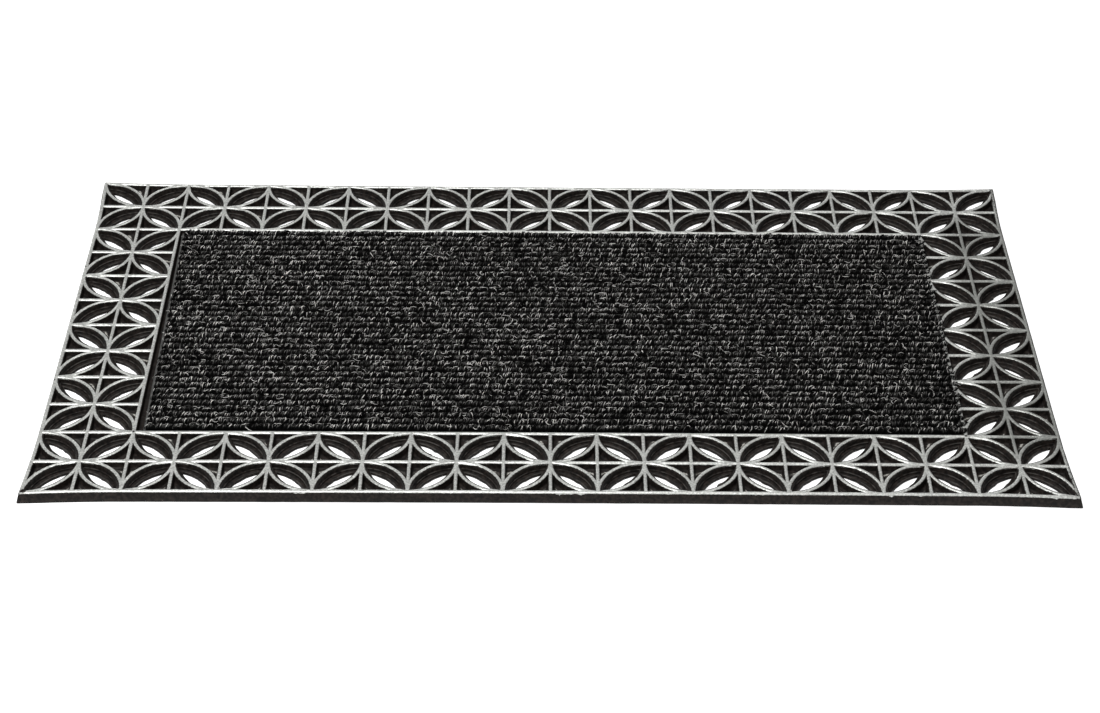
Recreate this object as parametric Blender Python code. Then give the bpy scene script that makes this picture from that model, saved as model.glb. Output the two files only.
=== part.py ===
"""Door mat: a rubber moulding with an openwork flower border, and a ribbed carpet insert bonded in its tray.

Metres, +Z up. The origin is on the floor, under the middle of the mat. +X runs along the long side and
+Y from the front edge to the back edge.
"""

import math

import bmesh
import bpy
from mathutils import Matrix

# --- The flower pattern -------------------------------------------------------------------------------
TILE = 0.0675  # pitch of the square flower tiles
TILES_X = 11  # tiles along the mat
TILES_Y = 6  # tiles across the mat
BORDER_TILES = 1  # width of the openwork border, in tiles

# --- The rubber moulding ------------------------------------------------------------------------------
SHEET = 0.0025  # thickness of the base sheet, which is also the tray's floor
RIB_HEIGHT = 0.0055  # from the base sheet to the top of the ribs
RIB_WIDTH = 0.0034  # straight and curved ribs, and both rims
OPENING_INSET = 0.0062  # from a petal's curved centre line to the edge of the hole through the sheet
SIDE_DRAFT = 0.0020  # how far the outer side runs out on its way down to the floor

# --- The carpet insert --------------------------------------------------------------------------------
EDGE_CLEARANCE = 0.0010  # insert to tray wall, at the front, the right and the back
LEFT_GAP_FRONT = 0.0044  # the insert is cut a little out of square, so its left gap tapers
LEFT_GAP_BACK = 0.0010
BARE_EDGE = 0.0020  # the coated backing runs this far past the rows' left ends
ADHESIVE = 0.0004  # film of adhesive on the tray's floor
ADHESIVE_MARGIN = 0.0030  # the film stops this far inside the insert's edge
COATING = 0.0010  # latex coat that locks the tufts
CLOTH = 0.0005  # woven backing that the yarn is tufted through
PILE = 0.0042  # height of the loops over the cloth
ROWS = 37  # rows of tufts, front to back
GAP = 0.0003  # between one layer, or one row, and the next

# --- How finely curves are cut ------------------------------------------------------------------------
PETAL_SEGMENTS = 4  # each curved side of a petal
POCKET_SEGMENTS = 2  # the curved side of a pocket
OPENING_SEGMENTS = 2  # each curved side of a hole through the sheet

CELL = TILE / 2  # each tile holds four square cells, with one petal in each
TOP = SHEET + RIB_HEIGHT
HALF_RIB = RIB_WIDTH / 2
OUTER_HALF = (TILES_X * CELL, TILES_Y * CELL)  # outermost rib lines
INNER_HALF = (OUTER_HALF[0] - BORDER_TILES * TILE, OUTER_HALF[1] - BORDER_TILES * TILE)
TRAY_HALF = (INNER_HALF[0] - HALF_RIB, INNER_HALF[1] - HALF_RIB)
WELD = 1e-6


def clear_scene():
    for obj in list(bpy.data.objects):
        bpy.data.objects.remove(obj)


def material(name, colour, roughness, metallic=0.0):
    made = bpy.data.materials.new(name)
    made.use_nodes = True
    shader = made.node_tree.nodes["Principled BSDF"]
    shader.inputs["Base Color"].default_value = (*colour, 1.0)
    shader.inputs["Roughness"].default_value = roughness
    shader.inputs["Metallic"].default_value = metallic
    made.diffuse_color = (*colour, 1.0)
    return made


def add_object(name, bm, *materials):
    bmesh.ops.recalc_face_normals(bm, faces=bm.faces)
    mesh = bpy.data.meshes.new(name)
    bm.to_mesh(mesh)
    bm.free()
    for each in materials:
        mesh.materials.append(each)
    obj = bpy.data.objects.new(name, mesh)
    bpy.context.scene.collection.objects.link(obj)
    return obj


# ------------------------------------------------------------------------------------------------------
# One cell. The flower's hub is at (0, 0) and the tile's corner at (CELL, CELL). The petal lies between
# two quarter circles about the other two corners, and a closed pocket fills each of those corners.
# ------------------------------------------------------------------------------------------------------
def arc(centre, radius, start, end, segments):
    angles = [start + (end - start) * i / segments for i in range(segments + 1)]
    return [(centre[0] + radius * math.cos(a), centre[1] + radius * math.sin(a)) for a in angles]


def petal_outline(inset, segments):
    """The petal, with both of its curved sides moved in by inset."""
    radius = CELL - inset
    spread = math.acos(CELL / math.sqrt(2) / radius)
    first, second = math.radians(135), math.radians(-45)
    upper = arc((CELL, 0), radius, first + spread, first - spread, segments)
    lower = arc((0, CELL), radius, second + spread, second - spread, segments)
    return upper + lower[1:-1]


def pocket_outline(inset, segments):
    """The pocket beside (0, CELL), with its two straight sides and its curved side moved in by inset."""
    lean = math.acos((CELL - inset) / (CELL + inset))
    curve = arc((CELL, 0), CELL + inset, math.pi - lean, math.pi / 2 + lean, segments)
    return [(inset, CELL - inset)] + curve


def swapped(outline):
    return [(y, x) for x, y in outline]


def ring(bm, outline, z):
    return [bm.verts.new((x, y, z)) for x, y in outline]


def ring_edges(bm, verts):
    pairs = zip(verts, verts[1:] + verts[:1])
    return [bm.edges.get(pair) or bm.edges.new(pair) for pair in pairs]


def wall(bm, upper, lower):
    count = len(upper)
    for i in range(count):
        j = (i + 1) % count
        bm.faces.new((upper[i], upper[j], lower[j], lower[i]))


def fill(bm, *rings):
    """Fills a flat ring, leaving out the rings inside it."""
    edges = [edge for verts in rings for edge in ring_edges(bm, verts)]
    bmesh.ops.triangle_fill(bm, use_beauty=True, edges=edges, normal=(0, 0, 1))


def make_cell():
    bm = bmesh.new()
    square = [(0, 0), (CELL, 0), (CELL, CELL), (0, CELL)]
    petal = petal_outline(HALF_RIB, PETAL_SEGMENTS)
    opening = petal_outline(OPENING_INSET, OPENING_SEGMENTS)
    pocket = pocket_outline(HALF_RIB, POCKET_SEGMENTS)
    pockets = [pocket, swapped(pocket)]

    pocket_tops = [ring(bm, outline, TOP) for outline in pockets]
    petal_top = ring(bm, petal, TOP)
    fill(bm, ring(bm, square, TOP), petal_top, *pocket_tops)

    for outline, top in zip(pockets, pocket_tops):
        floor = ring(bm, outline, SHEET)
        wall(bm, top, floor)
        fill(bm, floor)

    petal_base = ring(bm, petal, SHEET)
    wall(bm, petal_top, petal_base)
    ledge = ring(bm, opening, SHEET)
    fill(bm, petal_base, ledge)
    underside = ring(bm, opening, 0.0)
    wall(bm, ledge, underside)
    fill(bm, ring(bm, square, 0.0), underside)
    return bm


# ------------------------------------------------------------------------------------------------------
# The moulding: four cells to a tile, tiles all round the border, then the rims, the side and the tray.
# ------------------------------------------------------------------------------------------------------
def border_tiles():
    """The centre of every tile of the border."""
    for i in range(TILES_X):
        for j in range(TILES_Y):
            inside_x = BORDER_TILES <= i < TILES_X - BORDER_TILES
            inside_y = BORDER_TILES <= j < TILES_Y - BORDER_TILES
            if not (inside_x and inside_y):
                yield (i + 0.5) * TILE - OUTER_HALF[0], (j + 0.5) * TILE - OUTER_HALF[1]


def repeat(source, transforms):
    """A bmesh with one copy of source for each transform, welded where the copies meet."""
    mesh = bpy.data.meshes.new("repeat")
    source.to_mesh(mesh)
    source.free()
    bm = bmesh.new()
    for transform in transforms:
        placed = mesh.copy()
        placed.transform(transform)
        bm.from_mesh(placed)
        bpy.data.meshes.remove(placed)
    bpy.data.meshes.remove(mesh)
    bmesh.ops.remove_doubles(bm, verts=bm.verts, dist=WELD)
    return bm


def open_loop(bm, half, z):
    """The open edges at height z along the rectangle of the given half sizes."""

    def lies_on(vert):
        on_x = abs(abs(vert.co.x) - half[0]) < WELD
        on_y = abs(abs(vert.co.y) - half[1]) < WELD
        return abs(vert.co.z - z) < WELD and (on_x or on_y)

    return [edge for edge in bm.edges if edge.is_boundary and all(map(lies_on, edge.verts))]


def extend(bm, half, z, outward, new_z):
    """Extrudes that loop's edges sideways by outward and up or down to new_z."""
    made = bmesh.ops.extrude_edge_only(bm, edges=open_loop(bm, half, z))
    for vert in made["geom"]:
        if not isinstance(vert, bmesh.types.BMVert):
            continue
        on_x = abs(abs(vert.co.x) - half[0]) < WELD
        on_y = abs(abs(vert.co.y) - half[1]) < WELD
        vert.co.x += math.copysign(on_x, vert.co.x) * outward
        vert.co.y += math.copysign(on_y, vert.co.y) * outward
        vert.co.z = new_z
    return half[0] + outward, half[1] + outward


def make_moulding(rubber, silver_paint):
    tile = repeat(make_cell(), [Matrix.Rotation(math.radians(90 * k), 4, "Z") for k in range(4)])
    bm = repeat(tile, [Matrix.Translation((x, y, 0.0)) for x, y in border_tiles()])

    rim = extend(bm, OUTER_HALF, TOP, HALF_RIB, TOP)
    extend(bm, rim, TOP, SIDE_DRAFT, 0.0)
    extend(bm, OUTER_HALF, 0.0, HALF_RIB + SIDE_DRAFT, 0.0)

    tray = extend(bm, INNER_HALF, TOP, -HALF_RIB, TOP)
    extend(bm, tray, TOP, 0.0, SHEET)
    for loop in (open_loop(bm, tray, SHEET), open_loop(bm, INNER_HALF, 0.0)):
        bmesh.ops.triangle_fill(bm, use_beauty=True, edges=loop, normal=(0, 0, 1))

    bmesh.ops.remove_doubles(bm, verts=bm.verts, dist=WELD)
    for face in bm.faces:
        face.material_index = 1 if min(v.co.z for v in face.verts) > TOP - WELD else 0
    return add_object("rubber_moulding", bm, rubber, silver_paint)


# ------------------------------------------------------------------------------------------------------
# The carpet insert: an adhesive film, a latex coat, the woven backing and the rows of tufted yarn.
# ------------------------------------------------------------------------------------------------------
FRONT = -TRAY_HALF[1] + EDGE_CLEARANCE
BACK = TRAY_HALF[1] - EDGE_CLEARANCE
RIGHT = TRAY_HALF[0] - EDGE_CLEARANCE
ROW_PITCH = (BACK - FRONT) / ROWS


def left_edge(y):
    """X of the insert's left edge, which runs straight from its front gap to its back gap."""
    along = (y - FRONT) / (BACK - FRONT)
    return -TRAY_HALF[0] + LEFT_GAP_FRONT + along * (LEFT_GAP_BACK - LEFT_GAP_FRONT)


def make_layer(name, base, thickness, margin, finish):
    """A flat layer with the insert's outline, moved in by margin."""
    front, back, right = FRONT + margin, BACK - margin, RIGHT - margin
    left_front, left_back = left_edge(front) + margin, left_edge(back) + margin
    corners = [(left_front, front), (right, front), (right, back), (left_back, back)]
    bm = bmesh.new()
    bm.faces.new(ring(bm, corners, base))
    made = bmesh.ops.extrude_face_region(bm, geom=bm.faces[:])
    raised = [item for item in made["geom"] if isinstance(item, bmesh.types.BMVert)]
    bmesh.ops.translate(bm, verts=raised, vec=(0, 0, thickness))
    return add_object(name, bm, finish)


def make_pile_row(number, base, finish):
    """The envelope of one row of loops: upright sides, rounded over at the top."""
    middle = FRONT + (number - 0.5) * ROW_PITCH
    half = (ROW_PITCH - GAP) / 2
    side = [(half, 0.0), (half, 0.50 * PILE), (0.62 * half, 0.90 * PILE)]
    profile = side + [(0.0, PILE)] + [(-y, z) for y, z in reversed(side)]
    places = [(middle + y, base + z) for y, z in profile]
    bm = bmesh.new()
    left_end = [bm.verts.new((left_edge(y) + BARE_EDGE, y, z)) for y, z in places]
    right_end = [bm.verts.new((RIGHT, y, z)) for y, z in places]
    wall(bm, left_end, right_end)
    bm.faces.new(left_end)
    bm.faces.new(right_end)
    return add_object(f"pile_row_{number:02d}", bm, finish)


def make_insert():
    base = SHEET + GAP
    layers = (
        ("adhesive_film", ADHESIVE, ADHESIVE_MARGIN, material("adhesive", (0.62, 0.56, 0.42), 0.45)),
        ("latex_coating", COATING, 0.0, material("latex", (0.045, 0.045, 0.047), 0.80)),
        ("backing_cloth", CLOTH, 0.0, material("backing", (0.030, 0.030, 0.032), 0.90)),
    )
    for name, thickness, margin, finish in layers:
        make_layer(name, base, thickness, margin, finish)
        base += thickness + GAP
    yarn = material("pile_yarn", (0.055, 0.055, 0.058), 0.75)
    for number in range(1, ROWS + 1):
        make_pile_row(number, base, yarn)


clear_scene()
make_moulding(
    material("rubber", (0.022, 0.021, 0.020), 0.55),
    material("silver_paint", (0.62, 0.63, 0.62), 0.38, metallic=0.6),
)
make_insert()
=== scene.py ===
"""Looks of the door mat: a rubber moulding with silver-painted ribs, and a heathered carpet insert.

Metres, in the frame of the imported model: +X along the long side, +Y from front to back, +Z up.
"""

import math

import bmesh
import bpy
import numpy as np
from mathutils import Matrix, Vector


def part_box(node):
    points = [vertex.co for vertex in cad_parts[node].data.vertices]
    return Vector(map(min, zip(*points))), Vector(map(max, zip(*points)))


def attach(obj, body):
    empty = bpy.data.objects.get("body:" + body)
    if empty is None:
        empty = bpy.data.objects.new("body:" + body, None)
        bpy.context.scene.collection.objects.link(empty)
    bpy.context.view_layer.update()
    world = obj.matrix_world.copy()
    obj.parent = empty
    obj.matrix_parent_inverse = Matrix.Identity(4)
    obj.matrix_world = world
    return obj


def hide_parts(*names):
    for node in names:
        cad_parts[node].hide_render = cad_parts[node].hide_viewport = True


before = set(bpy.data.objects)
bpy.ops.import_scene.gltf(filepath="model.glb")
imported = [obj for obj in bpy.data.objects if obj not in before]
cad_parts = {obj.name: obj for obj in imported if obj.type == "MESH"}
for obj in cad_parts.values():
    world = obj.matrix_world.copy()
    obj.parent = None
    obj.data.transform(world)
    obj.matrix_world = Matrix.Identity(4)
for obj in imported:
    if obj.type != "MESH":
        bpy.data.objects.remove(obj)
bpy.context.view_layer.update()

MM = 0.001
RNG = np.random.default_rng(7)
NO_TRIANGLES = np.zeros((0, 3), int)

# --- The moulding's pattern -----------------------------------------------------------------------
TILES_X = 11
TILES_Y = 6
SIDE_RUN = 3.7 * MM  # from the outermost rib's centre line to the foot of the side
LOW, HIGH = (np.array(corner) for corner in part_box("rubber_moulding"))
TILE = (HIGH[0] - LOW[0] - 2 * SIDE_RUN) / TILES_X
CELL = TILE / 2
TOP = HIGH[2]
OUTER_HALF = (TILES_X * CELL, TILES_Y * CELL)
INNER_HALF = (OUTER_HALF[0] - TILE, OUTER_HALF[1] - TILE)
ARC = 10  # segments of each curved side of a petal
SIDE = ARC // 2  # segments of each straight side of a cell

# How far from a rib's centre line, and how far under the rib's top, in millimetres.
RIB_SHOULDER = [(0, 0), (0.5, 0.05), (0.9, 0.18), (1.2, 0.38), (1.47, 0.75), (1.74, 1.9)]
RIB_FOOT = [(1.95, 4.5), (2.3, 5.15), (3.2, 5.5), (4.6, 5.5)]
PETAL_SHOULDER = RIB_SHOULDER[:4] + [(1.4, 0.64), (2.15, 0.76), (2.3, 1.4)]
PETAL_FOOT = [(2.4, 3.7), (2.55, 4.05), (3.1, 4.2), (3.3, 4.6), (3.5, 5.4)]
PETAL_LIP = [(5.6, 5.5), (6.1, 5.7), (6.35, 6.2), (6.45, 8.0)]
TIP_REACH = 1.0 * MM  # how much nearer to the ribs the opening comes at its ends
OUTER_SIDE = [(2.2, 3.2), (3.62, 7.75), (3.6, 8.0)]
TRAY_WALL = [(1.76, 5.2), (1.9, 5.5)]
STREAK = {3.2: [ARC + 3], 4.6: [ARC + 3, ARC + 2 * SIDE - 1]}  # where a pocket's floor rises in a bead that carries a painted highlight
STREAK_HEIGHT = 0.25 * MM
POCKET_MIDDLE = 5.7 * MM  # from the ribs' centre lines to the middle of a pocket's floor
PETAL_HIGHLIGHT = {2.55: 0.05, 3.1: 0.1, 6.1: 0.15}  # painted highlight along a petal's ledges and lip
CORNER_ROUND = 0.29  # how far the outer corners are cut in, as a share of the edge's own width
UNEVEN = 0.035 * MM  # how rough the moulded surface is
WELD = 2e-6  # points nearer than this are one
SHARP_ANGLE = math.radians(38)

# --- How the mat lies -----------------------------------------------------------------------------
CORNER_SPREAD = (2.8 * MM, 2.3 * MM)  # how far the corners have moved along and across
SPREAD_REACH = 70 * MM


def lie(x, y):
    """How far the mat stands off the floor: rubber that was rolled up never lies quite flat."""
    u = x / OUTER_HALF[0]
    v = y / OUTER_HALF[1]
    wave = 0.95 - 0.33 * u**2 + 0.43 * v**2 + 0.59 * u**2 * v
    wave += 0.15 * (u**3 - u) - 0.21 * (v**3 - v) - 0.44 * u * v
    return np.maximum(wave, 0) * MM


def flare(x, y):
    """How far the mat's corners have spread outwards, as a rolled sheet's do."""
    away = np.hypot(OUTER_HALF[0] - np.abs(x), OUTER_HALF[1] - np.abs(y))
    spread = np.clip(1 - away / SPREAD_REACH, 0, 1) ** 2
    return np.stack([np.sign(x) * CORNER_SPREAD[0] * spread, np.sign(y) * CORNER_SPREAD[1] * spread], -1)


# --- Meshes ---------------------------------------------------------------------------------------
def make_piece(name, points, quads, triangles, slot, stands_for, material, **values):
    """A mesh object that rides on the mat and stands for its CAD nodes. values are kept for each point."""
    corners = np.concatenate([np.ravel(quads), np.ravel(triangles)]).astype(np.int32)
    quad_count = len(quads)
    triangle_count = len(triangles)
    starts = np.concatenate([np.arange(quad_count) * 4, quad_count * 4 + np.arange(triangle_count) * 3])
    mesh = bpy.data.meshes.new(name)
    mesh.vertices.add(len(points))
    mesh.vertices.foreach_set("co", np.ravel(points).astype(np.float32))
    mesh.loops.add(len(corners))
    mesh.loops.foreach_set("vertex_index", corners)
    mesh.polygons.add(quad_count + triangle_count)
    mesh.polygons.foreach_set("loop_start", starts.astype(np.int32))
    mesh.update(calc_edges=True)
    for key, value in values.items():
        kept = mesh.attributes.new(key, "FLOAT", "POINT")
        kept.data.foreach_set("value", np.ravel(value).astype(np.float32))
    mesh.shade_smooth()
    mesh.materials.append(material)
    piece = bpy.data.objects.new(name, mesh)
    bpy.context.scene.collection.objects.link(piece)
    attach(piece, "root")
    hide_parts(*stands_for)
    return piece


class Builder:
    """Collects points with a depth under the ribs' top, and the faces between them.

    A face is four point numbers, and a triangle's fourth is -1.
    """

    def __init__(self):
        self.points = []
        self.faces = []
        self.count = 0

    def ring(self, outline, depth, worn=0.0):
        """Adds a ring of points, and gives their numbers."""
        depths = np.broadcast_to(depth, len(outline))
        # Each point also carries how much painted highlight it gets.
        highlight_strength = np.broadcast_to(worn, len(outline))
        self.points.append(np.column_stack([outline, TOP - depths, depths, highlight_strength]))
        self.count += len(outline)
        return np.arange(self.count - len(outline), self.count)

    def band(self, upper, lower):
        """Joins two rings of the same length."""
        self.faces.append(np.stack([upper, np.roll(upper, -1), np.roll(lower, -1), lower], 1))

    def fan(self, ring, middle, depth, worn):
        """Closes a ring with triangles to one point in its middle."""
        centre = self.ring(np.array([middle]), depth, worn)
        spokes = np.full(len(ring), centre[0])
        none = np.full(len(ring), -1)
        self.faces.append(np.stack([ring, np.roll(ring, -1), spokes, none], 1))

    def placed(self, turn, x, y):
        """The same shape, turned by quarter turns and moved."""
        points = np.concatenate(self.points)
        cos, sin = ((1, 0), (0, 1), (-1, 0), (0, -1))[turn]
        turned = points.copy()
        turned[:, 0] = x + points[:, 0] * cos - points[:, 1] * sin
        turned[:, 1] = y + points[:, 0] * sin + points[:, 1] * cos
        return turned, np.concatenate(self.faces)


def arc_points(start, end, radius):
    """Points along an arc about the cell's lower right corner."""
    angles = np.linspace(start, end, ARC + 1)
    return np.stack([CELL + radius * np.cos(angles), radius * np.sin(angles)], 1)


def petal_ring(inset):
    """The petal, from the flower's hub to the tile's corner and back, moved in by inset."""
    radius = CELL - inset
    spread = math.acos(CELL / math.sqrt(2) / radius)
    upper = arc_points(math.radians(135) + spread, math.radians(135) - spread, radius)
    lower = upper[::-1, ::-1]
    return np.concatenate([upper[:-1], lower[:-1]])


def pocket_ring(inset):
    """The pocket beside the petal's upper side, moved in by inset."""
    radius = CELL + inset
    lean = math.acos((CELL - inset) / radius)
    curve = arc_points(math.pi - lean, math.pi / 2 + lean, radius)
    corner = np.array([inset, CELL - inset])
    steps = np.linspace(0, 1, SIDE + 1)[:-1, None]
    far_side = curve[-1] * (1 - steps) + corner * steps
    near_side = corner * (1 - steps) + curve[0] * steps
    return np.concatenate([curve[:-1], far_side, near_side])


def square_ring():
    """The outline of a cell."""
    steps = np.linspace(0, CELL, SIDE + 1)[:-1]
    zero = np.zeros(SIDE)
    full = np.full(SIDE, CELL)
    xs = np.concatenate([zero, steps, full, CELL - steps])
    ys = np.concatenate([steps, full, CELL - steps, zero])
    return np.stack([xs, ys], 1)


def make_cell(rng):
    """One quarter of a flower tile, with its hub at (0, 0)."""
    cell = Builder()
    for swap in (False, True):
        rings = []
        for inset, depth in RIB_SHOULDER + RIB_FOOT:
            outline = pocket_ring(inset * MM)
            # Painted highlight: chosen points of the pocket's floor rise in a bead and carry a pale
            # streak.
            streak = np.isin(np.arange(len(outline)), STREAK.get(inset, []))
            depths = depth * MM - streak * STREAK_HEIGHT
            rings.append(cell.ring(outline[:, ::-1] if swap else outline, depths, streak))
        for upper, lower in zip(rings, rings[1:]):
            cell.band(upper, lower)
        middle = np.array([POCKET_MIDDLE, CELL - POCKET_MIDDLE])
        floor = RIB_FOOT[-1][1] * MM
        # The middle of the pocket's floor carries the full painted highlight.
        cell.fan(rings[-1], middle[::-1] if swap else middle, floor - STREAK_HEIGHT, 1.0)

    rings = []
    inward = np.array([CELL / 2, CELL / 2])
    ragged = rng.normal(0, 0.22, 2 * ARC) + np.repeat(rng.normal(0, 0.2, ARC), 2)
    flash = rng.random() ** 4 * 3.2
    along = np.linspace(0, 2 * math.pi, 2 * ARC, endpoint=False)
    tip = (1 - np.abs(np.sin(along)))[:, None]
    for inset, depth in PETAL_SHOULDER + PETAL_FOOT + PETAL_LIP:
        outline = petal_ring(inset * MM)
        # Painted highlight along the petal's ledges and lip.
        worn = PETAL_HIGHLIGHT.get(inset, 0)
        if inset > 5:
            outline = outline * (1 - tip) + petal_ring(inset * MM - TIP_REACH) * tip
        if inset > 6:
            closing = (ragged + flash * np.clip(np.sin(along + 0.6), 0, 1) ** 2)[:, None] * MM
            closing = closing * np.abs(np.sin(along))[:, None]
            pull = inward - outline
            away = np.linalg.norm(pull, axis=1, keepdims=True)
            outline = outline + pull / away * np.clip(closing, -0.5 * MM, 0.55 * away)
        rings.append(cell.ring(outline, depth * MM, worn))
    for upper, lower in zip(rings, rings[1:]):
        cell.band(upper, lower)
    cell.band(rings[-1], cell.ring(square_ring(), TOP))
    return cell


def edge_steps(half):
    """How many segments a rectangle's long and short edges have, as long as a cell's own."""
    return [round(2 * reach / CELL) * SIDE for reach in half]


def frame_ring(half, outward, corner_cut=0.0):
    """Points round a rectangle, as far apart as a cell's own, moved outward.

    With corner_cut, each corner is three points instead of one.
    """
    nx, ny = edge_steps(half)
    xs = np.linspace(-half[0], half[0], nx + 1)
    ys = np.linspace(-half[1], half[1], ny + 1)
    wide = half[0] + outward
    deep = half[1] + outward
    runs = (
        np.stack([xs, np.full(nx + 1, -deep)], 1),
        np.stack([np.full(ny + 1, wide), ys], 1),
        np.stack([xs[::-1], np.full(nx + 1, deep)], 1),
        np.stack([np.full(ny + 1, -wide), ys[::-1]], 1),
    )
    corners = np.array([(-wide, -deep), (wide, -deep), (wide, deep), (-wide, deep)])
    sides = []
    for run, start, end in zip(runs, corners, np.roll(corners, -1, axis=0)):
        if corner_cut:
            way = (end - start) / np.linalg.norm(end - start)
            sides.append((start - CORNER_ROUND * np.sign(start) * corner_cut)[None])
            sides.append((start + way * corner_cut)[None])
            sides.append(run[1:-1])
            sides.append((end - way * corner_cut)[None])
        else:
            sides.append(start[None])
            sides.append(run[1:-1])
    return np.concatenate(sides)


def corner_fans(builder, plain, cut, half):
    """Joins a ring with plain corners to one whose corners are three points."""
    nx, ny = edge_steps(half)
    at_plain = 0
    at_cut = 0
    for count in (nx, ny, nx, ny):
        upper = plain[(at_plain + np.arange(count + 1)) % len(plain)]
        lower = cut[(at_cut + 1 + np.arange(count + 1)) % len(cut)]
        builder.faces.append(np.stack([upper[:-1], upper[1:], lower[1:], lower[:-1]], 1))
        for a, b in ((at_cut - 1, at_cut), (at_cut, at_cut + 1)):
            low = cut[[a % len(cut), b % len(cut)]]
            builder.faces.append(np.array([[upper[0], low[1], low[0], -1]]))
        at_plain += count
        at_cut += count + 2


def grid(builder, half, inset, depth):
    """A flat floor of squares in a rectangle, whose edge is moved in by inset."""
    nx, ny = edge_steps(half)
    xs = np.linspace(-half[0], half[0], nx + 1)
    ys = np.linspace(-half[1], half[1], ny + 1)
    xs[[0, -1]] = (-half[0] + inset, half[0] - inset)
    ys[[0, -1]] = (-half[1] + inset, half[1] - inset)
    outline = np.stack([np.tile(xs, ny + 1), np.repeat(ys, nx + 1)], 1)
    ids = builder.ring(outline, depth).reshape(ny + 1, nx + 1)
    quads = np.stack([ids[:-1, :-1], ids[:-1, 1:], ids[1:, 1:], ids[1:, :-1]], -1)
    builder.faces.append(quads.reshape(-1, 4))


def make_rims():
    """The outer side, the tray's wall and floor, and the underside."""
    rims = Builder()
    top_ring = rims.ring(frame_ring(OUTER_HALF, 0), 0)
    last = None
    for offset, depth in RIB_SHOULDER[1:] + OUTER_SIDE:
        cut = rims.ring(frame_ring(OUTER_HALF, offset * MM, min(1.0, offset) * MM), depth * MM)
        if last is None:
            corner_fans(rims, top_ring, cut, OUTER_HALF)
        else:
            rims.band(last, cut)
        last = cut
    corner_fans(rims, rims.ring(frame_ring(OUTER_HALF, 0), TOP), last, OUTER_HALF)
    last = None
    for offset, depth in RIB_SHOULDER + TRAY_WALL:
        wall = rims.ring(frame_ring(INNER_HALF, -offset * MM), depth * MM)
        if last is not None:
            rims.band(last, wall)
        last = wall
    grid(rims, INNER_HALF, TRAY_WALL[-1][0] * MM, TRAY_WALL[-1][1] * MM)
    grid(rims, INNER_HALF, 0, TOP)
    return rims


def make_moulding(material):
    """The whole moulding: four cells to a tile, round the border, and the rims, welded into one skin."""
    parts = [make_rims().placed(0, 0, 0)]
    for column in range(TILES_X):
        for line in range(TILES_Y):
            if 0 < column < TILES_X - 1 and 0 < line < TILES_Y - 1:
                continue
            x = (column - (TILES_X - 1) / 2) * TILE
            y = (line - (TILES_Y - 1) / 2) * TILE
            for turn in range(4):
                parts.append(make_cell(RNG).placed(turn, x, y))
    points = np.concatenate([part[0] for part in parts])
    shifts = np.cumsum([0] + [len(part[0]) for part in parts[:-1]])
    faces = np.concatenate([np.where(f < 0, f, f + s) for (_, f), s in zip(parts, shifts)])
    keys = np.round(points / WELD).astype(np.int64)
    _, first, number = np.unique(keys, axis=0, return_index=True, return_inverse=True)
    points = points[first]
    number = np.append(number.ravel(), -1)
    faces = number[faces]
    quads = faces[faces[:, 3] >= 0]
    triangles = faces[faces[:, 3] < 0][:, :3]
    depth = points[:, 3] / MM
    # How much painted highlight each point carries, on the petals' ledges and lips and in the pockets.
    worn = points[:, 4]
    place = points[:, :3].copy()
    place[:, 2] += lie(place[:, 0], place[:, 1])
    place[:, :2] += flare(place[:, 0], place[:, 1])
    place += RNG.normal(0, UNEVEN, place.shape) * np.array([1, 1, 0.5])
    place[:, 2] = np.maximum(place[:, 2], 0)
    moulding = make_piece(
        "openwork_moulding",
        place,
        quads,
        triangles,
        "rubber",
        ["rubber_moulding"],
        material,
        rib_depth=depth,
        worn_rib=worn,
    )
    even_normals(moulding.data)
    moulding.data.set_sharp_from_angle(angle=SHARP_ANGLE)


def even_normals(mesh):
    """Turns every face of a mesh outwards."""
    bm = bmesh.new()
    bm.from_mesh(mesh)
    bmesh.ops.recalc_face_normals(bm, faces=bm.faces)
    bm.to_mesh(mesh)
    bm.free()


# --- The insert's layers --------------------------------------------------------------------------
ROWS = sorted(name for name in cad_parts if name.startswith("pile_row_"))
ROW_BOXES = [[np.array(corner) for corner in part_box(name)] for name in ROWS]
FRONT_LEFT = ROW_BOXES[0][0][0]
BACK_LEFT = ROW_BOXES[-1][0][0]
LAYER_STEPS = (90, 40)  # along and across
LAYER_EDGE = 0.3  # how far a layer's edge is rounded over, as a share of its thickness


def layer_points(low, high, ragged):
    """A thin slab with a slanting left edge, cut as askew as the rows are, and its faces."""
    nx, ny = LAYER_STEPS
    s, t = np.meshgrid(np.linspace(0, 1, nx + 1), np.linspace(0, 1, ny + 1))
    left = (low[0] - (BACK_LEFT - FRONT_LEFT)) * (1 - t) + low[0] * t
    x = left * (1 - s) + high[0] * s
    y = low[1] * (1 - t) + high[1] * t
    edge = (s == 0) | (s == 1) | (t == 0) | (t == 1)
    x = x - np.where(edge, np.sign(x) * RNG.random(x.shape) * ragged, 0)
    y = y - np.where(edge, np.sign(y) * RNG.random(y.shape) * ragged, 0)
    drop = np.where(edge, LAYER_EDGE * (high[2] - low[2]), 0)
    upper = np.stack([x, y, high[2] - drop + lie(x, y)], -1).reshape(-1, 3)
    lower = np.stack([x, y, low[2] + drop + lie(x, y)], -1).reshape(-1, 3)
    ids = np.arange((nx + 1) * (ny + 1)).reshape(ny + 1, nx + 1)
    top = np.stack([ids[:-1, :-1], ids[:-1, 1:], ids[1:, 1:], ids[1:, :-1]], -1).reshape(-1, 4)
    round_edge = np.concatenate([ids[0, :-1], ids[:-1, -1], ids[-1, :0:-1], ids[:0:-1, 0]])
    after = np.roll(round_edge, -1)
    total = ids.size
    walls = np.stack([round_edge, round_edge + total, after + total, after], 1)
    quads = np.concatenate([top, top[:, ::-1] + total, walls])
    return np.concatenate([upper, lower]), quads


def make_layer(name, node, slot, material, ragged):
    """One of the insert's flat layers, whose edge is ragged by so much."""
    low, high = (np.array(corner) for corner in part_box(node))
    points, quads = layer_points(low, high, ragged)
    return make_piece(name, points, quads, NO_TRIANGLES, slot, [node], material)


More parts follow.
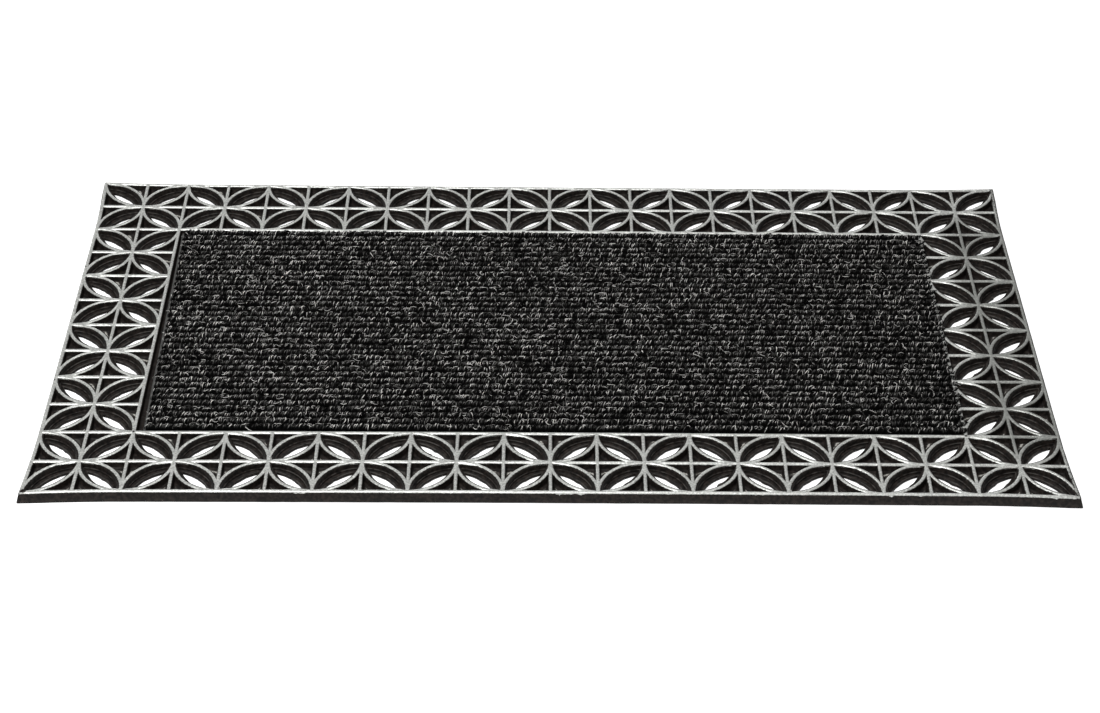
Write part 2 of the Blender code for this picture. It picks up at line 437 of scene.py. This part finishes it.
# --- The rows of tufts ----------------------------------------------------------------------------
TUFT_PITCH = 1.65 * MM
STRANDS = 4  # drawn for each tuft, the first of them its pale one
STEPS = 6  # points along a strand
TUBE_SIDES = 3
LOOP_REACH = 0.8  # a loop's half width, as a share of its row's
LOOP_SLANT = 2.2 * MM  # how far a loop leans along its row
LOOP_ENDS = (-70, 58)  # degrees from upright where a loop starts, in front, and ends
LOOP_SWELL = np.array([0.7, 1, 1.05, 1.05, 1, 0.7])  # thickness along a strand
LOOP_FOOT_SHADE = np.array([0.3, 0.7, 1, 1, 0.7, 0.35])  # painted shade: how pale a strand is along its length, darkest at its feet between the rows
MEAN_TONE = 0.715  # of the pale strands
DARK_TONE = 0.66  # the palest of the dark strands
OPEN_TOP = 0.35 * MM  # the loops' mean height is this far under the rows' own
RIDGE_ROUND = 8
RIDGE_PITCH = 1.45 * MM
RIDGE_SIZE = 0.72  # the row's body, as a share of its room
RIM_CLEARANCE = 0.45 * MM  # between the tray's rim and the fibres that lie over it
FRONT_SHADOW = 2.6 * MM  # the front row keeps this far inside the rib's centre line
OVER_RIM = (3.4 * MM, 2.0 * MM)  # fibres nearer than this to the right or back rib lie over it
BACK_LEAN = 0.5 * MM  # how far the last row leans back
OVERRUN = (2.2, 4.2)  # millimetres that a row's loops run on past its right end
FIRST_SEED = 100


def tubes(paths, radii):
    """Closed tubes along many paths at once: paths (strand, step, 3) and radii (strand, step)."""
    count, steps, _ = paths.shape
    along = np.gradient(paths, axis=1)
    along /= np.linalg.norm(along, axis=2, keepdims=True) + 1e-12
    across = np.cross(along, np.array([0.31, -0.17, 0.93]))
    across /= np.linalg.norm(across, axis=2, keepdims=True) + 1e-12
    over = np.cross(across, along)
    angles = np.linspace(0, 2 * math.pi, TUBE_SIDES, endpoint=False)
    spoke = np.cos(angles)[:, None] * across[:, :, None] + np.sin(angles)[:, None] * over[:, :, None]
    points = paths[:, :, None] + radii[:, :, None, None] * spoke
    ids = np.arange(count * steps * TUBE_SIDES).reshape(count, steps, TUBE_SIDES)
    after = np.roll(ids, -1, axis=2)
    quads = np.stack([ids[:, :-1], after[:, :-1], after[:, 1:], ids[:, 1:]], -1).reshape(-1, 4)
    caps = np.concatenate([ids[:, 0, ::-1], ids[:, -1]])
    return points.reshape(-1, 3), quads, caps


def patch(x, y):
    """Slow drift of the yarn's shade over the insert, from -1 to 1."""
    drift = np.sin(41 * x + 1.3 * np.sin(37 * y + 0.4)) + np.sin(67 * y + 1.7 * np.sin(29 * x + 2.0))
    return 0.35 * drift + 0.3 * np.sin(113 * x + 90 * y + 2 * np.sin(61 * x))


def row_loops(rng, left, right, middle, half, base, top):
    """Paths and radii of one row's loops, each tuft's tone, and which strands are the pale ones."""
    count = int((right - left) / TUFT_PITCH)
    tuft = left + (np.arange(count) + 0.5 + rng.normal(0, 0.1, count)) * (right - left) / count
    wander = 0.35 * MM * np.sin(tuft * 55 + rng.uniform(0, 6)) + rng.normal(0, 0.36, count) * MM
    slant = rng.normal(LOOP_SLANT / MM, 1.0, count) * MM
    reach = rng.normal(0, 0.07, count) + 0.05 * np.sin(tuft * 90 + rng.uniform(0, 6))
    run = np.convolve(rng.normal(0, 1, count + 4), np.full(5, 0.45), "valid")
    drift = 0.038 * run + 0.04 * patch(tuft, middle) + rng.normal(0, 0.15, count)
    tone = np.clip(MEAN_TONE + drift, 0.05, 1)

    number = count * STRANDS
    t = np.linspace(0, 1, STEPS)[None]
    start = np.radians(rng.normal(LOOP_ENDS[0], 12, number))[:, None]
    end = np.radians(rng.normal(LOOP_ENDS[1], 16, number))[:, None]
    phi = start + (end - start) * t
    size = 1 + np.repeat(reach, STRANDS)[:, None] + rng.normal(0, 0.05, number)[:, None]
    size = size + 0.03 * rng.normal(0, 1, (number, STEPS))
    pale = np.tile([1.0] + [0.0] * (STRANDS - 1), count)
    size = size + 0.05 * pale[:, None]
    spread = np.tile(np.linspace(0, 1, STRANDS, endpoint=False), count) * TUFT_PITCH
    offset = (spread + rng.normal(0, 0.16, number) * MM)[:, None]
    swing = rng.normal(0, 0.42, number)[:, None] * MM
    wiggle = swing * np.sin(2 * math.pi * (t + rng.random(number)[:, None]))
    lean = np.repeat(slant, STRANDS)[:, None] * (t - 0.5)
    x = np.repeat(tuft, STRANDS)[:, None] + offset + lean + wiggle
    y = middle + np.repeat(wander, STRANDS)[:, None] + LOOP_REACH * half * size * np.sin(phi)
    z = base + (top - base) * size * np.cos(phi)
    thick = np.where(pale > 0, rng.uniform(0.24, 0.36, number), rng.uniform(0.26, 0.42, number))
    return np.stack([x, y, z], -1), (thick[:, None] * MM) * LOOP_SWELL[None], tone, pale


def loose_fibres(rng, count, left, right, middle, half, base, top):
    """Paths and radii of the curly fibres that lie on a row."""
    t = np.linspace(0, 1, STEPS)[None]
    turn = rng.normal(0.9, 1.2, count)[:, None]
    bend = rng.normal(0, 2.6, count)[:, None]
    length = rng.uniform(2.5, 7.5, count)[:, None] * MM
    heading = turn + bend * (t - 0.5)
    step_x = np.cumsum(np.cos(heading), 1) * length / STEPS
    step_y = np.cumsum(np.sin(heading), 1) * length / STEPS
    x = rng.uniform(left, right, count)[:, None] + step_x
    y = middle + rng.uniform(-0.5, 0.5, count)[:, None] * half + step_y * 0.8
    hump = np.sqrt(np.clip(1 - ((y - middle) / (half * 1.25)) ** 2, 0.12, 1))
    arch = 0.04 + 0.16 * rng.random(count)[:, None] * np.sin(math.pi * t)
    z = base + (top - base) * (hump + arch)
    radii = np.repeat(rng.uniform(0.11, 0.2, count)[:, None] * MM, STEPS, 1)
    return np.stack([x, y, z], -1), radii


def row_strands(rng, left, right, middle, half, base, top):
    """Paths, radii and shades of one row's loops, and of the loose fibres on it."""
    loops, loop_radii, tone, pale = row_loops(rng, left, right, middle, half, base, top)
    loose = len(tone) * 3 // 5
    fibres, fibre_radii = loose_fibres(rng, loose, left, right, middle, half, base, top)
    dark = rng.random(len(loops)) ** 1.3 * DARK_TONE
    shade = np.where(pale > 0, np.repeat(tone, STRANDS), dark)
    fibre_shade = rng.uniform(0.5, 0.95, loose)
    # Painted shade: each loop darkens towards its feet.
    shades = np.concatenate([shade[:, None] * LOOP_FOOT_SHADE, np.repeat(fibre_shade[:, None], STEPS, 1)])
    return np.concatenate([loops, fibres]), np.concatenate([loop_radii, fibre_radii]), shades


def ridge(rng, left, right, middle, half, base, top):
    """The body of a row under its loops."""
    count = int((right - left) / RIDGE_PITCH)
    xs = np.linspace(left, right, count + 1)
    angles = np.linspace(-100, 100, RIDGE_ROUND) * math.pi / 180
    size = RIDGE_SIZE + 0.06 * rng.normal(0, 1, (count + 1, RIDGE_ROUND))
    size[[0, -1]] *= 0.6
    y = middle + half * size * np.sin(angles)[None]
    z = base + (top - base) * np.clip(size * np.cos(angles)[None], 0.02, 1)
    points = np.stack([np.repeat(xs[:, None], RIDGE_ROUND, 1), y, z], -1)
    ids = np.arange(points.shape[0] * RIDGE_ROUND).reshape(-1, RIDGE_ROUND)
    after = np.roll(ids, -1, axis=1)
    quads = np.stack([ids[:-1], after[:-1], after[1:], ids[1:]], -1).reshape(-1, 4)
    fans = []
    for ring, way in ((ids[0], -1), (ids[-1], 1)):
        for i in range(1, RIDGE_ROUND - 1):
            fans.append([ring[0], ring[i + 1], ring[i]][::way])
    return points.reshape(-1, 3), quads, np.array(fans)


def make_row(index, material):
    """One row of tufts, with its own seed."""
    rng = np.random.default_rng(FIRST_SEED + index)
    low, high = ROW_BOXES[index]
    middle = (low[1] + high[1]) / 2
    half = (high[1] - low[1]) / 2
    base = low[2]
    top = high[2] - OPEN_TOP
    over = rng.uniform(*OVERRUN) * MM
    points, quads, triangles = ridge(rng, low[0], high[0], middle, half, base, top)
    # The row's body is the charcoal yarn, given the ramp's darkest colour as painted shade in the crevices
    # between the loops.
    shades = np.zeros(len(points))
    paths, radii, shade = row_strands(rng, low[0], high[0] + over, middle, half, base, top)
    if index == 0:
        paths[:, :, 1] = np.maximum(paths[:, :, 1], FRONT_SHADOW - INNER_HALF[1])
    if index == len(ROWS) - 1:
        paths[:, :, 1] += BACK_LEAN
    past_right = paths[:, :, 0] > INNER_HALF[0] - OVER_RIM[0]
    past_back = paths[:, :, 1] > INNER_HALF[1] - OVER_RIM[1]
    lifted = np.maximum(paths[:, :, 2], TOP + RIM_CLEARANCE)
    paths[:, :, 2] = np.where(past_right | past_back, lifted, paths[:, :, 2])
    tube_points, tube_quads, tube_caps = tubes(paths, radii)
    shades = np.concatenate([shades, np.repeat(shade.ravel(), TUBE_SIDES)])
    quads = np.concatenate([quads, tube_quads + len(points)])
    triangles = np.concatenate([triangles, tube_caps + len(points)])
    points = np.concatenate([points, tube_points])
    points[:, 2] += lie(points[:, 0], points[:, 1])
    name = ROWS[index].replace("pile_row", "tuft_row")
    return make_piece(name, points, quads, triangles, "pile_yarn", [ROWS[index]], material, heather=shades)


# --- Materials ------------------------------------------------------------------------------------
class Nodes:
    """Short names for a node tree's common steps."""

    def __init__(self, tree):
        self.tree = tree

    def add(self, kind, **settings):
        node = self.tree.nodes.new(kind)
        for key, value in settings.items():
            setattr(node, key, value)
        return node

    def put(self, value, socket):
        if isinstance(value, bpy.types.NodeSocket):
            self.tree.links.new(value, socket)
        elif value is not None:
            socket.default_value = value

    def math(self, operation, a, b=None, c=None):
        node = self.add("ShaderNodeMath", operation=operation)
        for socket, value in zip(node.inputs, (a, b, c)):
            self.put(value, socket)
        return node.outputs[0]

    def noise(self, scale, detail=2.0, roughness=0.5):
        node = self.add("ShaderNodeTexNoise")
        self.put(self.place(), node.inputs["Vector"])
        self.put(scale, node.inputs["Scale"])
        self.put(detail, node.inputs["Detail"])
        self.put(roughness, node.inputs["Roughness"])
        return node.outputs["Fac"]

    def place(self):
        return self.add("ShaderNodeTexCoord").outputs["Object"]

    def between(self, value, low, high, to_low=0.0, to_high=1.0):
        node = self.add("ShaderNodeMapRange", interpolation_type="SMOOTHSTEP")
        for socket, number in zip(node.inputs, (value, low, high, to_low, to_high)):
            self.put(number, socket)
        return node.outputs[0]

    def ramp(self, value, *stops):
        node = self.add("ShaderNodeValToRGB")
        self.put(value, node.inputs[0])
        while len(node.color_ramp.elements) < len(stops):
            node.color_ramp.elements.new(0.5)
        for element, (position, colour) in zip(node.color_ramp.elements, stops):
            element.position = position
            element.color = (*colour, 1)
        return node.outputs["Color"]

    def mix(self, factor, a, b):
        node = self.add("ShaderNodeMix", data_type="RGBA")
        self.put(factor, node.inputs["Factor"])
        for value, socket in ((a, node.inputs[6]), (b, node.inputs[7])):
            self.put((*value, 1) if isinstance(value, tuple) else value, socket)
        return node.outputs[2]

    def bump(self, height, strength, distance):
        node = self.add("ShaderNodeBump")
        self.put(strength, node.inputs["Strength"])
        self.put(distance, node.inputs["Distance"])
        self.put(height, node.inputs["Height"])
        return node.outputs["Normal"]

    def attribute(self, name):
        return self.add("ShaderNodeAttribute", attribute_name=name).outputs["Fac"]

    def group(self, tree, *values):
        """Places a shared effect with its own values, and gives its outputs."""
        node = self.add("ShaderNodeGroup", node_tree=tree)
        for socket, value in zip(node.inputs, values):
            self.put((*value, 1) if isinstance(value, tuple) else value, socket)
        return node.outputs


def new_group(name, inputs, outputs):
    """An empty node group with named sockets, and its own input and output nodes."""
    tree = bpy.data.node_groups.new(name, "ShaderNodeTree")
    for in_out, sockets in (("INPUT", inputs), ("OUTPUT", outputs)):
        for label, kind in sockets:
            tree.interface.new_socket(name=label, in_out=in_out, socket_type=f"NodeSocket{kind}")
    n = Nodes(tree)
    return tree, n, n.add("NodeGroupInput").outputs, n.add("NodeGroupOutput").inputs


def grain_group():
    """The fine unevenness of coated and spun surfaces."""
    sockets = (("Scale", "Float"), ("Detail", "Float"), ("Strength", "Float"), ("Height", "Float"))
    tree, n, given, out = new_group("fine_grain", sockets, [("Normal", "Vector")])
    height = n.noise(given["Scale"], given["Detail"])
    n.put(n.bump(height, given["Strength"], given["Height"]), out["Normal"])
    return tree


def mottle_group():
    """A coat that lies thicker in some places and thinner in others."""
    sockets = (("Scale", "Float"), ("Detail", "Float"), ("Thin", "Color"), ("Thick", "Color"))
    tree, n, given, out = new_group("mottled_coat", sockets, [("Colour", "Color")])
    n.put(n.mix(n.noise(given["Scale"], given["Detail"]), given["Thin"], given["Thick"]), out["Colour"])
    return tree


def new_material(name, roughness):
    """A material, its nodes' helper and its shader."""
    made = bpy.data.materials.new(name)
    made.use_nodes = True
    shader = made.node_tree.nodes["Principled BSDF"]
    shader.inputs["Roughness"].default_value = roughness
    return made, Nodes(made.node_tree), shader


def spot(n, across, along, x, y, radius):
    """1 within radius of a point of the mat's plan, and 0 outside."""
    dx = n.math("SUBTRACT", across, x)
    dy = n.math("SUBTRACT", along, y)
    distance = n.math("SQRT", n.math("ADD", n.math("MULTIPLY", dx, dx), n.math("MULTIPLY", dy, dy)))
    ragged = n.math("MULTIPLY_ADD", n.noise(1100, 2), radius, distance)
    return n.between(ragged, radius * 1.7, radius * 1.2)


# Pairs run from the darkest to the palest of a finish.
BLACK_RUBBER = ((0.003, 0.0022, 0.0018), (0.02, 0.015, 0.0126))
SILVER = ((0.42, 0.427, 0.408), (0.84, 0.85, 0.815))
THIN_SILVER = (0.17, 0.172, 0.16)  # where it feathers out on a rib's flank
RIGHT_BORDER_SHADE = (0.13, 0.135, 0.12)  # painted shade over the middle of the right border
# Painted highlights: along the petals' ledges and lips, and in streaks on the pockets' floors.
LEDGE_HIGHLIGHT = (0.40, 0.39, 0.36)
POCKET_HIGHLIGHT = (0.38, 0.37, 0.34)
DRY_LATEX = ((0.03, 0.03, 0.03), (0.09, 0.09, 0.088))
AMBER_GLUE = ((0.16, 0.11, 0.05), (0.26, 0.19, 0.10))
BACKING = ((0.035, 0.035, 0.034), (0.14, 0.14, 0.135))
CHIPS = (79.3 * MM, -72 * MM)  # along the left rim, where the paint is off
RIGHT_SHADE_FROM = (0.315, 0.335)  # metres right of the mat's middle where the painted shade sets in
RIGHT_SHADE_WITHIN = (0.175, 0.14)  # and metres to the front or back of it, from none of the painted shade to all of it
PAINT_SOFTNESS = 0.08  # half the width of the paint's edge, in millimetres of rib depth


def bare_spots(n, across, along):
    """Where the rubber shows through: the tray's front corners, the mat's front left corner and chips."""
    corner = -OUTER_HALF[0] - 1.2 * MM, -OUTER_HALF[1] - 1.2 * MM
    bare = n.math(
        "ADD",
        spot(n, n.math("ABSOLUTE", across), along, INNER_HALF[0], -INNER_HALF[1], 1.1 * MM),
        spot(n, across, along, *corner, 2.4 * MM),
    )
    for chip in CHIPS:
        bare = n.math("ADD", bare, spot(n, across, along, -OUTER_HALF[0] - 0.8 * MM, chip, 0.9 * MM))
    return n.math("MINIMUM", bare, 1.0)


def paint_edge(n, across, along):
    """How far down the ribs the silver runs, in millimetres."""
    edge = n.math("MULTIPLY", n.noise(750, 3), 0.8)
    # It runs further down the flanks that face the front or the back, the way it was rolled on.
    facing = n.add("ShaderNodeSeparateXYZ")
    n.put(n.add("ShaderNodeNewGeometry").outputs["Normal"], facing.inputs[0])
    sideways = n.math("MULTIPLY", facing.outputs[0], facing.outputs[0])
    endways = n.math("MULTIPLY", facing.outputs[1], facing.outputs[1])
    share = n.math("DIVIDE", endways, n.math("ADD", n.math("ADD", sideways, endways), 0.003))
    edge = n.math("MULTIPLY_ADD", n.between(share, 0.75, 0.97), 0.6, edge)
    right_end = n.between(across, OUTER_HALF[0] + 0.1 * MM, OUTER_HALF[0] + 0.6 * MM)
    edge = n.math("MULTIPLY_ADD", right_end, -0.3, edge)
    front = n.between(along, -OUTER_HALF[1], -OUTER_HALF[1] - 1.0 * MM)
    drips = n.math("MULTIPLY", n.between(n.noise(75, 3), 0.60, 0.72), front)
    return n.math("MULTIPLY_ADD", drips, 1.6, edge)


def silver_coat(n, across, along, depth, edge):
    """The silver's colour: rough, thin at its edge, and darkened with painted shade on the right border.
    """
    silver = n.mix(n.between(n.noise(640, 4, 0.7), 0.3, 0.75), *SILVER)
    thin_edge = n.between(n.math("SUBTRACT", depth, edge), -0.28, 0.02, 0.0, 0.6)
    silver = n.mix(thin_edge, silver, THIN_SILVER)
    # Painted shade: the silver darkens over the middle of the right border.
    right = n.between(across, *RIGHT_SHADE_FROM)
    middle = n.between(n.math("ABSOLUTE", along), *RIGHT_SHADE_WITHIN)
    lean = n.math("MULTIPLY", n.math("MULTIPLY", right, middle), 0.5)
    return n.mix(lean, silver, RIGHT_BORDER_SHADE)


def rubber_with_highlights(n):
    """The rubber's colour, with painted highlights along the petals' ledges and lips and pale streaks of
    painted highlight in the pockets.
    """
    rubber = n.mix(n.between(n.noise(420, 4), 0.36, 0.7), *BLACK_RUBBER)
    # The painted highlights are stronger in some places than in others; faint along the petals' ledges and
    # lips.
    highlight_strength = n.math("MULTIPLY_ADD", n.between(n.noise(170, 3), 0.4, 0.62), 1.2, 0.5)
    worn = n.math("MULTIPLY", n.attribute("worn_rib"), highlight_strength)
    rubber = n.mix(n.between(worn, 0.03, 0.12, 0.0, 0.1), rubber, LEDGE_HIGHLIGHT)
    # Painted highlight: pale streaks and the middles of the pockets' floors.
    return n.mix(n.between(worn, 0.55, 0.9), rubber, POCKET_HIGHLIGHT)


def painted_rubber():
    """Black moulded rubber, with silver rolled onto the tops of its ribs."""
    made, n, shader = new_material("silver_topped_rubber", 0.5)
    parts = n.add("ShaderNodeSeparateXYZ")
    n.put(n.place(), parts.inputs[0])
    across, along = parts.outputs[0], parts.outputs[1]
    depth = n.attribute("rib_depth")
    edge = paint_edge(n, across, along)
    paint = n.between(n.math("SUBTRACT", edge, depth), -PAINT_SOFTNESS, PAINT_SOFTNESS)
    paint = n.math("MULTIPLY", paint, n.math("SUBTRACT", 1.0, bare_spots(n, across, along)))
    silver = silver_coat(n, across, along, depth, edge)
    n.put(n.mix(paint, rubber_with_highlights(n), silver), shader.inputs["Base Color"])
    n.put(n.math("MULTIPLY", paint, 0.5), shader.inputs["Metallic"])
    dull = n.math("MULTIPLY_ADD", n.noise(9, 2), 0.2, 0.48)
    n.put(n.math("MULTIPLY_ADD", paint, -0.27, dull), shader.inputs["Roughness"])
    shader.inputs["Specular IOR Level"].default_value = 0.2
    grain = n.math("ADD", n.noise(2600, 2), n.math("MULTIPLY", n.noise(700, 3), 1.4))
    n.put(n.bump(grain, 0.5, 0.18 * MM), shader.inputs["Normal"])
    return made


def heather_yarn(grain):
    """Charcoal and pale fibres spun together."""
    made, n, shader = new_material("heather_yarn", 0.85)
    # Each point's value holds the yarn's own tone times painted shade; the loops' feet and the rows'
    # bodies take the ramp's dark end.
    colour = n.ramp(
        n.attribute("heather"),
        (0.0, (0.002, 0.002, 0.002)),
        (0.4, (0.004, 0.0039, 0.0037)),
        (0.58, (0.05, 0.049, 0.047)),
        (0.75, (0.26, 0.255, 0.245)),
        (0.86, (0.8, 0.785, 0.755)),
        (1.0, (1.0, 0.985, 0.95)),
    )
    n.put(colour, shader.inputs["Base Color"])
    shader.inputs["Specular IOR Level"].default_value = 0.03
    n.put(n.group(grain, 3200, 2, 0.4, 0.1 * MM)["Normal"], shader.inputs["Normal"])
    return made


def coated_cloth():
    """Woven backing cloth, dark with latex."""
    made, n, shader = new_material("coated_backing_cloth", 0.6)
    warp = n.add("ShaderNodeTexWave", bands_direction="X")
    weft = n.add("ShaderNodeTexWave", bands_direction="Y")
    for wave in (warp, weft):
        n.put(n.place(), wave.inputs["Vector"])
        wave.inputs["Scale"].default_value = 250
        wave.inputs["Distortion"].default_value = 0.6
    weave = n.math("MAXIMUM", warp.outputs["Fac"], weft.outputs["Fac"])
    colour = n.mix(n.math("MULTIPLY", weave, n.noise(500, 2)), *BACKING)
    n.put(colour, shader.inputs["Base Color"])
    n.put(n.bump(weave, 0.5, 0.15 * MM), shader.inputs["Normal"])
    return made


def spread_coat(name, roughness, colours, mottle, mottle_scale, grain, grain_scale):
    """A coat that was spread on wet and dried: the latex and the glue."""
    made, n, shader = new_material(name, roughness)
    n.put(n.group(mottle, mottle_scale, 3, *colours)["Colour"], shader.inputs["Base Color"])
    n.put(n.group(grain, grain_scale, 3, 0.4, 0.2 * MM)["Normal"], shader.inputs["Normal"])
    return made


# --- Floor, light and camera ----------------------------------------------------------------------
FLOOR_REACH = 8.0
LIGHTS = (  # name, watts, width, height, place; all aim at the mat's middle
    ("back_bank", 30, 4.5, 0.6, (-0.8, 4.2, 0.4)),
    ("top_strip", 30, 3.0, 0.2, (-0.4, 0.45, 2.7)),
    ("overhead", 52, 1.3, 1.3, (-0.62, -1.15, 1.9)),
)
WORLD_STRENGTH = 0.09
CAMERA_PLACE = (-0.01214, -1.51375, 1.07723)
CAMERA_TURN = (54.068, -0.501, -0.107)  # degrees about X, Y and Z
CAMERA_LENS = 78.19  # millimetres, on a sensor 36 mm wide


def make_floor():
    """A white floor that glows a little, so it stays blank under the mat."""
    mesh = bpy.data.meshes.new("studio_floor")
    corners = [(x * FLOOR_REACH, y * FLOOR_REACH, 0) for x, y in ((-1, -1), (1, -1), (1, 1), (-1, 1))]
    mesh.from_pydata(corners, [], [(0, 1, 2, 3)])
    floor = bpy.data.objects.new("studio_floor", mesh)
    bpy.context.scene.collection.objects.link(floor)
    made, _, shader = new_material("studio_white", 0.8)
    shader.inputs["Base Color"].default_value = (0.35, 0.35, 0.35, 1)
    shader.inputs["Emission Color"].default_value = (1, 1, 1, 1)
    shader.inputs["Emission Strength"].default_value = 0.97
    mesh.materials.append(made)


def add_light(name, energy, width, height, place):
    """A soft rectangle of light, turned towards the mat's middle."""
    light = bpy.data.lights.new(name, "AREA")
    light.shape = "RECTANGLE"
    light.size = width
    light.size_y = height
    light.energy = energy
    lamp = bpy.data.objects.new(name, light)
    lamp.location = place
    x, y, z = place
    lamp.rotation_euler = (math.atan2(math.hypot(x, y), z), 0, math.atan2(x, -y))
    bpy.context.scene.collection.objects.link(lamp)


def make_studio():
    """The world's soft light, the lamps and the camera."""
    scene = bpy.context.scene
    scene.view_settings.view_transform = "Standard"
    world = bpy.data.worlds.new("studio")
    scene.world = world
    world.use_nodes = True
    back = world.node_tree.nodes["Background"]
    back.inputs["Color"].default_value = (1, 1, 1, 1)
    back.inputs["Strength"].default_value = WORLD_STRENGTH
    for light in LIGHTS:
        add_light(*light)
    camera_data = bpy.data.cameras.new("camera")
    camera_data.sensor_width = 36
    camera_data.lens = CAMERA_LENS
    camera_data.clip_start = 0.05
    camera = bpy.data.objects.new("camera", camera_data)
    camera.location = CAMERA_PLACE
    camera.rotation_euler = [math.radians(angle) for angle in CAMERA_TURN]
    scene.collection.objects.link(camera)
    scene.camera = camera


make_studio()
make_floor()
make_moulding(painted_rubber())
grain = grain_group()
mottle = mottle_group()
glue = spread_coat("contact_adhesive", 0.3, AMBER_GLUE, mottle, 200, grain, 300)
coat = spread_coat("latex_coat", 0.5, DRY_LATEX, mottle, 300, grain, 500)
make_layer("glue_film", "adhesive_film", "adhesive", glue, 0.8 * MM)
make_layer("latex_coat", "latex_coating", "latex", coat, 0.1 * MM)
cloth = make_layer("tufting_cloth", "backing_cloth", "backing", coated_cloth(), 0.1 * MM)
yarn = heather_yarn(grain)
for row in range(len(ROWS)):
    make_row(row, yarn)
